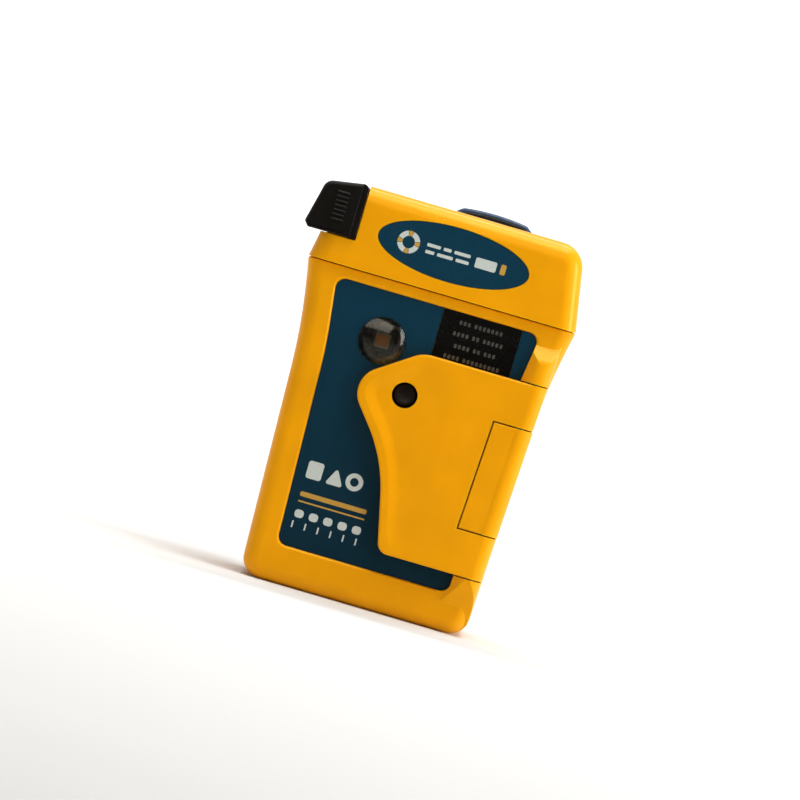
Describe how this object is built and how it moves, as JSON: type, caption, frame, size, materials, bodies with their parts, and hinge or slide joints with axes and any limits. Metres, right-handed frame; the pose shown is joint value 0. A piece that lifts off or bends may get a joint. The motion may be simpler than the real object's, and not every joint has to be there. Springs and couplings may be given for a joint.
{
  "type": "emergency position beacon",
  "caption": "Pocket emergency position beacon with a sprung flap over its keys, strobe lens, pull-out tape antenna and rewind wheel.",
  "frame": {"origin": "middle of the case's width on its flat bottom face, 13.2 mm behind the front of the lower case", "axes": "+Z from the bottom to the antenna end, -Y out of the front with the labels and the flap, +X to the hinge side"},
  "size_m": [0.0538, 0.0325, 0.0769],
  "materials": {
    "shell_yellow": "satin moulded plastic",
    "label_blue": "printed film, satin",
    "window_black": "printed film, satin",
    "lens_clear": "clear, polished",
    "reflector_silver": "metallised",
    "led_yellow": "phosphor on white ceramic",
    "tab_black": "matt moulded plastic",
    "winder_slate": "matt moulded plastic",
    "tape_black": "spring steel, coated black",
    "key_red": "matt",
    "key_black": "matt",
    "seal_black": "matt",
    "steel": "ground",
    "screw_steel": "passivated",
    "spring_steel": "drawn wire",
    "inner_plastic": "matt",
    "bearing_plastic": "natural acetal",
    "board_green": "solder mask",
    "chip_black": "matt",
    "shield_tin": "tinned",
    "gps_ceramic": "fired ceramic",
    "cell_jacket": "printed sleeve",
    "nickel": "plated strip",
    "foam_grey": "closed-cell foam",
    "socket_white": "matt",
    "wire_red": "silicone sleeve",
    "wire_black": "silicone sleeve"
  },
  "bodies": {
    "housing": {"amplifier_shield": "shield_tin", "antenna_lead": "wire_black", "antenna_tape": "tape_black", "axle_bush": "bearing_plastic", "board_posts": "inner_plastic", "board_screws": "screw_steel", "cap_screws": "screw_steel", "cap_seal": "seal_black", "case_gasket": "seal_black", "case_screws": "screw_steel", "cell_connector": "socket_white", "cell_contacts": "nickel", "cell_holder": "inner_plastic", "cell_leads": "wire_red", "cell_left": "cell_jacket", "cell_pad": "foam_grey", "cell_right": "cell_jacket", "clock_crystal": "shield_tin", "contact_spring": "spring_steel", "controller_chip": "chip_black", "exit_wiper": "seal_black", "flap_spring": "spring_steel", "front_case": "shell_yellow", "front_label": "label_blue", "gps_antenna": "gps_ceramic", "gps_window": "window_black", "hinge_block": "shell_yellow", "hinge_pin": "steel", "key_seal": "seal_black", "key_switches": "chip_black", "lanyard_bar": "steel", "lens_seal": "seal_black", "main_board": "board_green", "matching_coils": "chip_black", "oval_label": "label_blue", "radio_shield": "shield_tin", "rear_case": "shell_yellow", "rear_label": "label_blue", "receiver_chip": "chip_black", "strobe_led": "led_yellow", "strobe_lens": "lens_clear", "strobe_reflector": "reflector_silver", "tape_guide": "inner_plastic", "top_cap": "shell_yellow"},
    "flap": {"flap": "shell_yellow"},
    "on_key": {"on_key": "key_red"},
    "test_key": {"test_key": "key_black"},
    "antenna": {"antenna_tab": "tab_black", "tab_rivet": "steel"},
    "spool": {"antenna_spool": "inner_plastic", "antenna_coil": "tape_black", "spool_axle": "steel", "winder_wheel": "winder_slate", "winder_screw": "screw_steel"}
  },
  "joints": [
    {"name": "flap_hinge", "type": "hinge", "parent": "housing", "child": "flap", "pos_m": [0.0203, -0.013, 0.03], "axis": [0.045, 0, 0.999], "range_deg": [0, 115], "stiffness_Nm_per_rad": 0.002, "springref_deg": -28.65},
    {"name": "on_key_press", "type": "slide", "parent": "housing", "child": "on_key", "axis": [0, 1, 0], "range_m": [0, 0.0008], "stiffness_N_per_m": 2500, "springref_m": -0.0003},
    {"name": "test_key_press", "type": "slide", "parent": "housing", "child": "test_key", "axis": [0, 1, 0], "range_m": [0, 0.0005], "stiffness_N_per_m": 2500, "springref_m": -0.0003},
    {"name": "antenna_pull", "type": "slide", "parent": "housing", "child": "antenna", "axis": [0, 0, 1], "range_m": [0, 0.28], "deforming": ["antenna_tape"]},
    {"name": "spool_spin", "type": "hinge", "parent": "housing", "child": "spool", "pos_m": [0.0056, 0.0085, 0.0616], "axis": [0, 1, 0], "continuous": true}
  ],
  "couplings": [
    {"joint": "spool_spin", "follows": "antenna_pull", "rad_per_m": 204}
  ]
}
